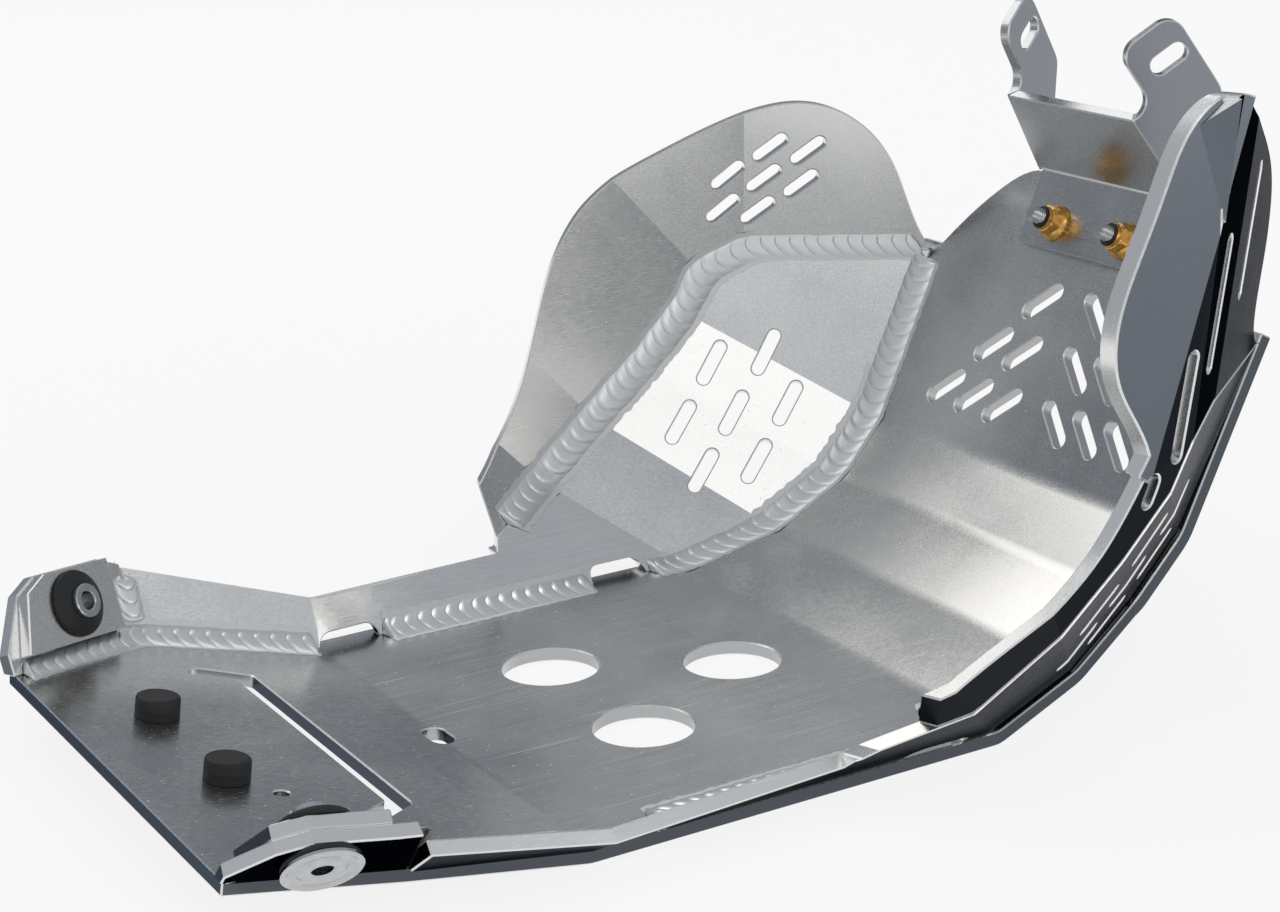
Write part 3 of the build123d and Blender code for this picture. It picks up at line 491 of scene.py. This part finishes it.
shape = bmesh.new()
rings = []
for row in range(RAMP_ROWS + 1):
    climb = FOOT_SHARE + (1 - FOOT_SHARE) * row / RAMP_ROWS
    base = STEP_FOOT.lerp(STEP_LOW, climb * STEP_SHARE) - STRIP_BACK * RAMP_LAP
    top = STEP_FOOT.lerp(STEP_HIGH, climb * STEP_SHARE) - STRIP_BACK * RAMP_LAP
    start = base + STRIP_BACK * RAMP_LENGTH * climb - RAMP_DROP * climb ** 3
    ring = [base]
    for column in range(RAMP_COLUMNS + 1):
        t = column / RAMP_COLUMNS
        ring.append(start.lerp(base, t) + (top - base) * t ** RAMP_CURVE + STRIP_OUT * RAMP_LIFT * t)
    rings.append([shape.verts.new(spot * MM) for spot in ring])
for low_ring, high_ring in zip(rings, rings[1:]):
    for k in range(len(low_ring)):
        n = (k + 1) % len(low_ring)
        shape.faces.new((low_ring[k], low_ring[n], high_ring[n], high_ring[k]))
shape.faces.new(rings[0])
shape.faces.new(rings[-1])
bmesh.ops.recalc_face_normals(shape, faces=shape.faces)
ramp_mesh = bpy.data.meshes.new("right_guard_ramp")
shape.to_mesh(ramp_mesh)
shape.free()
# The same rolled sheet, with the lighter painted sky reflection kept on its outside although the ramp leans
# down a little.
ramp_sheet = rolled_sheet("rolled_aluminium_ramp", SIDE_TONES, WING_OUT, UPHILL, SIDE_SCRATCHES,
                          RAMP_DARK_BELOW)
ramp_mesh.materials.append(ramp_sheet)
add_piece("right_guard_ramp", ramp_mesh)
print("ramp faces:", len(ramp_mesh.polygons))

# %% [markdown]
# ## Small metal and rubber
# The bolts and studs are bright zinc-plated steel, the flange nuts are yellow plated with a black nylon
# ring, and the bushes and buffers are moulded rubber. Each could have a material built from scratch, but
# they differ only in colour, gloss and the size of their specks, so one recipe makes them all.

# %% Plated steel, yellow plating, moulded rubber and nylon
PLATE_CLOUD = 3 * MM
RUBBER_GRIT = 0.6 * MM
NYLON_FLECK = 0.4 * MM
# Zinc plate is smooth, with a faint cloud in its gloss, and mirrors the room in cool grey.
zinc = speckled("bright_zinc_plate", PLATE_CLOUD, "#c9cbcc", "#b2b5b8", (0.18, 0.32), METAL)
# Yellow plating has the same skin, and its thin film turns the mirror golden.
yellow = speckled("yellow_zinc_plate", PLATE_CLOUD, "#ecb968", "#d29a48", (0.2, 0.34), METAL)
# Moulded rubber copies the fine grit of its mould, so it is black and never glossy.
rubber = speckled("moulded_black_rubber", RUBBER_GRIT, "#131314", "#1d1e20", 0.62, {"IOR": 1.52},
                  bump=(0.25, 0.08 * MM))
# Nylon is smoother than the rubber, so it has a dull shine.
nylon = speckled("black_nylon_ring", NYLON_FLECK, "#151617", "#222325", (0.4, 0.55), {"IOR": 1.53},
                 detail=2.0)
print("finishes:", zinc.name, yellow.name, rubber.name, nylon.name)

# %% [markdown]
# ## Turned pieces
# Bolts, nuts, sleeves, bushes and buffers are all turned about an axis, so one function makes them. The
# Screw modifier only turns circles, so the rings are made in code. Each has a height along the axis, a
# radius and a kind. A round ring is a circle. A hex ring is cut by six flats, which leaves the arched
# chamfer of a real nut where the circle is smaller than the corners. A thread ring follows a helix with
# the pitch of an M6 screw, and a toothed ring has the serrations of a locking flange. A bored piece joins
# its last ring to its first, and any other piece is closed at both ends.

# %% The radius of a ring
M6_PITCH = 1.0
THREAD_DEPTH = 0.45
THREAD_STEPS = 8
SERRATIONS = 32
TOOTH_DEPTH = 0.18


def ring_radius(radius, kind, across, angle, height):
    if kind == "hex":
        turn = (angle + math.pi / 6) % (math.pi / 3) - math.pi / 6
        return min(radius, across / 2 / math.cos(turn))
    if kind == "thread":
        phase = (height / M6_PITCH - angle / (2 * math.pi)) % 1.0
        return radius - THREAD_DEPTH * abs(2 * phase - 1)
    if kind == "toothed":
        return radius - TOOTH_DEPTH * (1 + math.cos(SERRATIONS * angle))
    return radius


def thread(low, high, radius):
    count = int(abs(high - low) / M6_PITCH * THREAD_STEPS)
    return [(low + (high - low) * k / count, radius, "thread") for k in range(count + 1)]


print("thread pitch in mm:", M6_PITCH)

# %% Turn rings about an axis
COLUMNS = 64
SHARP_ANGLE = math.radians(32)
PLAIN_RING = ("round", 0, 0)


# A ring is a height and a radius, then where needed its kind, its width across flats and its finish.
def turned(name, seat, axis, rings, finishes, bored=False):
    rings = [ring + PLAIN_RING[len(ring) - 2:] for ring in rings]
    axis = Vector(axis).normalized()
    first = axis.orthogonal().normalized()
    second = axis.cross(first)
    shape = bmesh.new()
    rows = []
    for height, radius, kind, across, finish in rings:
        row = []
        for column in range(COLUMNS):
            angle = 2 * math.pi * column / COLUMNS
            out = ring_radius(radius, kind, across, angle, height)
            spot = Vector(seat) + axis * height + (first * math.cos(angle) + second * math.sin(angle)) * out
            row.append(shape.verts.new(spot * MM))
        rows.append(row)
    if bored:
        rows.append(rows[0])
        rings.append(rings[0])
    for k in range(len(rows) - 1):
        for column in range(COLUMNS):
            after = (column + 1) % COLUMNS
            face = shape.faces.new((rows[k][column], rows[k][after], rows[k + 1][after], rows[k + 1][column]))
            face.material_index = rings[k + 1][4]
            face.smooth = True
    open_ends = () if bored else (0, -1)
    for end in open_ends:
        cap = shape.faces.new(rows[end])
        cap.material_index = rings[end][4]
    bmesh.ops.recalc_face_normals(shape, faces=shape.faces)
    mesh = bpy.data.meshes.new(name)
    shape.to_mesh(mesh)
    shape.free()
    mesh.set_sharp_from_angle(angle=SHARP_ANGLE)
    for finish in finishes:
        mesh.materials.append(finish)
    return add_piece(name, mesh)


print("columns round each turned piece:", COLUMNS)

# %% [markdown]
# ## Bolts and nuts at the bracket
# Two M6 bolts hold the bracket to the front panel. Their tips stand out of yellow flange nuts. A thread
# could be drawn with bump, but the tips face the camera and their crests show in the outline, so the
# helix is real. The head has a hex socket, and the nut has a serrated flange and a nylon ring on top.

# %% Bolts with threaded tips and locking flange nuts
PANEL_NORMAL = (-0.891, 0, 0.454)
BOLT_SEAT = (202.37, 19.25, 135.62)
NYLON_RING = ("round", 0, 1)
bolt_rings = [
    (-6.6, 2.0, "hex", 4.0), (-6.6, 2.4, "hex", 4.0), (-8.3, 2.4, "hex", 4.0), (-8.5, 2.7),
    (-8.5, 4.1), (-8.1, 5.0), (-7.2, 5.5), (-5.2, 5.5), (-5.0, 5.3), (-5.0, 3.0), (12.5, 3.0),
    *thread(12.6, 17.2, 3.0), (17.3, 2.6), (18.0, 2.1)]
nut_rings = [
    (4.0, 3.2), (4.0, 6.6), (4.2, 7.0, "toothed"), (5.5, 7.0, "toothed"), (5.9, 6.5), (6.5, 5.9),
    (7.0, 5.77, "hex", 10.0), (9.9, 5.77, "hex", 10.0), (10.6, 5.1, "hex", 10.0), (10.8, 4.7),
    (11.6, 4.6), (12.2, 4.4), (12.2, 4.1, *NYLON_RING), (12.9, 3.9, *NYLON_RING), (13.0, 3.1, *NYLON_RING)]
for side, sign in (("left", 1), ("right", -1)):
    seat = (BOLT_SEAT[0], sign * BOLT_SEAT[1], BOLT_SEAT[2])
    bolt = turned(side + "_threaded_bolt", seat, PANEL_NORMAL, bolt_rings, [zinc])
    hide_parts(side + "_bolt")
    nut = turned(side + "_lock_nut", seat, PANEL_NORMAL, nut_rings, [yellow, nylon],
                 bored=True)
    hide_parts(side + "_nut")
print("rings in a bolt and in a nut:", len(bolt_rings), len(nut_rings))

# %% [markdown]
# ## Rubber buffers
# Two rubber buffers keep the tray off the engine. Each is moulded on a stud, with a thin parting line
# round its middle and a slightly hollow top. A plain cylinder would look hard and sharp, so the rim is
# rounded in a few rings. Below the floor the stud carries a washer and a hex nut.

# %% Rubber buffers with their studs
REAR_NORMAL = (0.1633, 0, 0.9866)
BUFFER_X = -163.86
BUFFER_Z = 18.88
buffer_rings = [
    (0.0, 3.0), (0.0, 7.4), (0.3, 7.6), (3.2, 7.55), (3.35, 7.6), (3.6, 7.6), (3.75, 7.55),
    (6.4, 7.5), (7.0, 7.25), (7.35, 6.8), (7.5, 6.1), (7.45, 5.0), (7.3, 1.0)]
stud_rings = [
    (3.0, 2.9), (-5.0, 3.0), (-5.0, 6.4), (-5.1, 6.5), (-6.1, 6.5), (-6.2, 6.4),
    (-6.2, 5.0, "hex", 10.0), (-6.7, 5.77, "hex", 10.0), (-10.7, 5.77, "hex", 10.0),
    (-11.2, 5.0, "hex", 10.0), (-11.2, 3.2), *thread(-11.2, -12.8, 3.0), (-12.9, 2.6), (-13.2, 2.3)]
for side, y in (("left", 40.0), ("right", -21.0)):
    seat = (BUFFER_X, y, BUFFER_Z)
    buffer = turned(side + "_moulded_buffer", seat, REAR_NORMAL, buffer_rings, [rubber])
    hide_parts(side + "_bumper")
    stud = turned(side + "_buffer_stud", seat, REAR_NORMAL, stud_rings, [zinc])
    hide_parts(side + "_bumper_stud")
print("rings in a buffer and in a stud:", len(buffer_rings), len(stud_rings))

# %% [markdown]
# ## Bushes in the ears
# The ears hang on rubber bushes, and a flanged steel sleeve goes through each. The rubber is pinched in
# the hole of the ear and swells on both sides of it. The sleeve's wide flange is dished by its stamping.
# Both are turned as closed loops, so that the hole through the sleeve is a real one.

# %% Rubber bushes and flanged sleeves in the ears
BUSHES = {
    "left": ((-168.67, 112.39, 36.63), (0.51694, -0.78202, 0.34818)),
    "right": ((-169.24, -104.22, 30.91), (0.16229, 0.75589, 0.63427))}
bush_rings = [
    (-7.0, 5.05), (-7.0, 11.0), (-6.7, 11.7), (-6.0, 12.0), (-5.3, 11.8), (-5.0, 11.3), (-5.0, 8.45),
    (5.0, 8.45), (5.0, 11.3), (5.3, 11.8), (5.9, 12.0), (6.6, 11.7), (7.2, 10.8), (8.0, 9.0),
    (8.7, 7.6), (9.0, 6.8), (9.0, 5.05)]
sleeve_rings = [
    (10.6, 3.25), (11.0, 3.7), (11.0, 5.7), (10.7, 6.1), (9.3, 6.1), (9.1, 5.9), (9.1, 5.0),
    (-7.0, 5.0), (-7.0, 12.0), (-7.3, 12.4), (-8.2, 12.4), (-8.5, 12.0), (-8.5, 10.9), (-7.9, 10.0),
    (-7.9, 7.6), (-8.5, 6.8), (-8.5, 3.8), (-8.0, 3.25)]
for side, (seat, axis) in BUSHES.items():
    bush = turned(side + "_moulded_bush", seat, axis, bush_rings, [rubber], bored=True)
    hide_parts(side + "_grommet")
    sleeve = turned(side + "_flanged_sleeve", seat, axis, sleeve_rings, [zinc], bored=True)
    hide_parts(side + "_sleeve")
print("rings in a bush and in a sleeve:", len(bush_rings), len(sleeve_rings))

# %% [markdown]
# ## Weld beads
# A hand-made aluminium weld looks like a stack of coins that has been pushed over: each pulse of the
# torch leaves a crescent that overlaps the one before. A texture could fake this, but the crescents are
# half a millimetre high and catch the light, so each bead is real geometry. The bead is a strip that is
# swept along the corner. Its cross-section is an arch between one toe on each plate, and a saw-tooth
# wave that is bowed forward in the middle lifts the arch. A thin frosted border lies on the plates beside
# it, where the heat has cleaned the metal.

# %% Bright weld metal and its frosted border
WELD_FROST = 0.9 * MM
FROST = {"detail": 4.0, "crumble": 0.65, "bump": (0.2, 0.06 * MM)}
# Fresh weld metal froze smooth, so each ripple carries a bright satin highlight.
bead_metal = speckled("rippled_weld_bead", WELD_FROST, "#dedfe0", "#f0f1f1", (0.32, 0.44), METAL, **FROST)
# The border was etched by the arc, so it is pale and scatters light without a highlight.
border_metal = speckled("frosted_weld_border", WELD_FROST, "#dcdddd", "#efefed", (0.55, 0.7), METAL, **FROST)
print("weld finishes:", bead_metal.name, border_metal.name)

# %% Follow the corner between two plates
PATH_BLUR = 4.0
END_LENGTH = 3.0
END_START = 0.02


def along_path(path, distance):
    spots, first, second, total = path
    distance = min(max(distance, 0), total)
    for k in range(len(spots) - 1):
        span = (spots[k + 1] - spots[k]).length
        if distance <= span or k == len(spots) - 2:
            share = min(max(distance / span, 0.0), 1.0)
            return [row[k].lerp(row[k + 1], share) for row in (spots, first, second)]
        distance -= span


# The corner, the steps to both toes and the taper towards the bead's ends, blurred over its bends.
def bead_frame(path, distance):
    total = path[3]
    along = min(max(distance, 0), total)
    samples = [along_path(path, along + blur) for blur in (-PATH_BLUR, 0, PATH_BLUR)]
    corner, one, two = [sum((sample[k] for sample in samples), Vector()) / len(samples) for k in range(3)]
    taper = min(1.0, math.sqrt(min(along, total - along) / END_LENGTH + END_START))
    return corner, one, two, taper


print("bends are blurred over mm:", 2 * PATH_BLUR)

# %% One row of scales with its border
BEAD_COLUMNS = 13
BEAD_CROWN = 1.1
CROWN_CURVE = 0.8
RIPPLE_BOW = 3.4
RIPPLE_HEIGHT = 0.75
RIPPLE_MEAN = 0.6
SKEW = 2
WIDTH_WOBBLE = 0.08
BORDER_WIDTH = 2.2
BORDER_LIFT = 0.06
BORDER_LAP = 0.94
RAGGED_SHARE = 0.4
RAGGED_RATE = 0.35
RAGGED_SEEDS = (5, 9)


def scale_row(path, distance, ripple, wobble, crown):
    row = []
    for column in range(BEAD_COLUMNS):
        t = column / (BEAD_COLUMNS - 1)
        arch = 1 - (2 * t - 1) ** 2
        bowed = distance + RIPPLE_BOW * (0.5 - arch) + wobble * (t - 0.5) * SKEW
        corner, one, two, taper = bead_frame(path, bowed)
        lift = crown if crown else (one.normalized() + two.normalized()).normalized()
        height = (BEAD_CROWN + RIPPLE_HEIGHT * (ripple - RIPPLE_MEAN)) * arch ** CROWN_CURVE
        reach = (one * (1 - t) + two * t) * (1 + WIDTH_WOBBLE * wobble)
        row.append(corner + (reach + lift * height) * taper)
    return row


def border_row(path, distance, wobble, seed):
    corner, one, two, taper = bead_frame(path, distance + RIPPLE_BOW * 0.5)
    row = []
    for toe, other, ragged_seed in ((one, two, RAGGED_SEEDS[0]), (two, one, RAGGED_SEEDS[1])):
        ragged = 1 + RAGGED_SHARE * noise.noise(Vector((distance * RAGGED_RATE, seed, ragged_seed)))
        lift = toe.cross(other).cross(toe).normalized() * BORDER_LIFT
        reach = toe * (1 + WIDTH_WOBBLE * wobble) * taper
        row.append(corner + reach * BORDER_LAP + lift)
        row.append(corner + reach + toe.normalized() * BORDER_WIDTH * ragged * taper + lift)
    return row


print("points across a bead:", BEAD_COLUMNS)

# %% Sweep a rippled bead along a corner
SCALE_ROWS = (0.0, 0.05, 0.12, 0.24, 0.40, 0.58, 0.76, 0.90, 0.97)
SCALE_PEAK = 0.3
SCALE_FALL = 0.5
RIPPLE_PITCH = 5.8
WOBBLE_RATE = 0.11


# A scale rises fast to its peak and falls slowly to the next one.
def scale_height(share):
    rise = 1 - (1 - min(share / SCALE_PEAK, 1.0)) ** 2
    return rise * (1 - SCALE_FALL * max(share - SCALE_PEAK, 0.0) / (1 - SCALE_PEAK))


def bead_faces(count):
    wide = BEAD_COLUMNS + 4
    faces = []
    border = []
    for start in range(0, (count - 1) * wide, wide):
        for a in range(start, start + BEAD_COLUMNS - 1):
            faces.append((a, a + 1, a + 1 + wide, a + wide))
        b = start + BEAD_COLUMNS
        border.append((b, b + wide, b + wide + 1, b + 1))
        border.append((b + 2, b + 3, b + 3 + wide, b + 2 + wide))
    return faces, border


def bead(name, spots, first, second, seed, crown=None):
    spots, first, second = [[Vector(p) for p in row] for row in (spots, first, second)]
    total = sum((after - before).length for before, after in zip(spots, spots[1:]))
    path = (spots, first, second, total)
    count = max(round(total / RIPPLE_PITCH), 1)
    stations = []
    for k in range(count):
        for share in SCALE_ROWS:
            stations.append(((k + share) * total / count, scale_height(share)))
    stations.append((total, 0.0))
    points = []
    for distance, ripple in stations:
        wobble = noise.noise(Vector((distance * WOBBLE_RATE, seed, 0)))
        points += scale_row(path, distance, ripple, wobble, crown)
        points += border_row(path, distance, wobble, seed)
    faces, border = bead_faces(len(stations))
    mesh = bpy.data.meshes.new(name)
    mesh.from_pydata([p * MM for p in points], [], faces + border)
    mesh.materials.append(bead_metal)
    mesh.materials.append(border_metal)
    for k, face in enumerate(mesh.polygons):
        face.material_index = 0 if k < len(faces) else 1
        face.use_smooth = True
    return add_piece(name, mesh)


print("ripple pitch in mm:", RIPPLE_PITCH)

# %% [markdown]
# ## Where the beads run
# Beads join the floor to the ears and the cheeks, the front folds to the cheeks, and the cheeks to the
# guards. A curve with a bevel would give a smooth tube, so each run is written for the sweep above: the
# points of its corner, and at each point the steps from the corner to the bead's two toes. The right
# side is written as if it were on the left and is then mirrored, because the two sides share most of
# their corners.

# %% Beads along the floor, the seams and the guards
IN = (0, -6.3, 0)
FLOOR_TOE = (0, 5.03, 3.79)
SEAM_TOE = (-3.8, 4.03, 3.02)
JOINT_TOE = (3.9, -4.16, -3.05)
flange_spots = [(-56, 96, 5), (4, 96, 5), (36, 96, 5)]
seam_spots = [(60, 96, 5), (75.5, 96, 5), (113, 90, 15.6), (141.6, 86, 33.1), (160.6, 87, 53.7),
              (191.6, 89.2, 114.4)]
seam_run = (seam_spots, [IN] * 6, [FLOOR_TOE] + [SEAM_TOE] * 5)
joint_spots = [(12.9, 124.1, 26.1), (36.5, 137.5, 36.3), (64.9, 142.7, 55.9), (88.6, 142.4, 75.0),
               (107.7, 142.0, 93.4), (116.5, 141.4, 107.9), (132.0, 133.5, 116.5), (188.2, 92.1, 116.1)]
left_runs = {
    "tail_weld": ([(-193.9, 90, 23.9), (-141.2, 121, 15.1), (-80, 96, 5)], [IN] * 3,
                  [(0, 2.0, 4.6), (0, 2.4, 5.4), (0, 2.1, 5.9)]),
    "flange_weld": (flange_spots, [IN] * 3, [(0, 3.2, 5.4), FLOOR_TOE, FLOOR_TOE]),
    "seam_weld": seam_run,
    "guard_weld": (joint_spots, [JOINT_TOE] * 8, [
        (-4.3, 1.0, 4.8), (-4.3, 1.1, 4.7), (-4.2, 1.1, 4.8), (-4.1, 1.1, 5.0), (-4.1, 1.1, 4.8),
        (-4.1, 1.1, 4.9), (-0.3, -0.7, 6.4), (-0.3, -0.8, 6.4)]),
}
right_runs = {
    "tail_weld": ([(-193.9, 93, 23.9), (-141.2, 97, 15.1), (-80, 96, 5)], [IN] * 3,
                  [(0, 3.2, 3.8), (0, 4.0, 3.7), (0, 5.4, 3.1)]),
    "flange_weld": (flange_spots, [IN] * 3, [(0, 5.3, 3.3), FLOOR_TOE, FLOOR_TOE]),
    "seam_weld": seam_run,
    "guard_weld": ([(23.2, 130.0, 30.6)] + joint_spots[1:], [JOINT_TOE] * 8, [
        (-4.3, 1.1, 4.7), (-4.3, 1.2, 4.7), (-3.0, 1.4, 5.6), (-5.1, 1.4, 3.8), (-5.4, 1.3, 3.2),
        (0.4, 0.5, 6.5), (0.9, 0.3, 6.4), (0.8, 0.2, 6.4)]),
}
for side, sign, runs in (("left", 1, left_runs), ("right", -1, right_runs)):
    for run, rows in runs.items():
        flipped = [[(x, sign * y, z) for x, y, z in row] for row in rows]
        piece = bead(side + "_" + run + "_bead", *flipped, seed=sign * len(rows[0]))
        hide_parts(side + "_" + run)
print("weld beads:", len(left_runs) + len(right_runs))

# %% [markdown]
# ## The corners of the ears
# A short bead climbs the corner where each ear meets the flange. The same sweep makes it, from a foot on
# the floor and the direction in which the corner rises. On the right the two plates are almost in line,
# so the way the bead bulges is given there and not taken from its toes.

# %% Short upright beads where each ear meets the flange
CORNER_START = 5
CORNER_END = 25.5
CORNER_SEED = 3
left_rise = Vector((0, 0.407, 0.914))
right_rise = Vector((0, -0.7, 0.714))
right_bulge = Vector((0, 0.714, 0.7))
corner_beads = {
    "left_corner_bead": (Vector((-141.2, 121, 15.1)), left_rise, (-4.3, -2.5, 0.7), (4.6, -1.9, -0.75), None),
    "right_corner_bead": (Vector((-141.2, -97, 15.1)), right_rise, (-4.4, 0.3, 0.7), (4.4, 0.1, -0.7),
                          right_bulge),
}
for name, (foot, rise, first, second, crown) in corner_beads.items():
    spots = [foot + rise * CORNER_START, foot + rise * CORNER_END]
    bead(name, spots, [first] * 2, [second] * 2, CORNER_SEED, crown)
print("corner beads:", len(corner_beads))
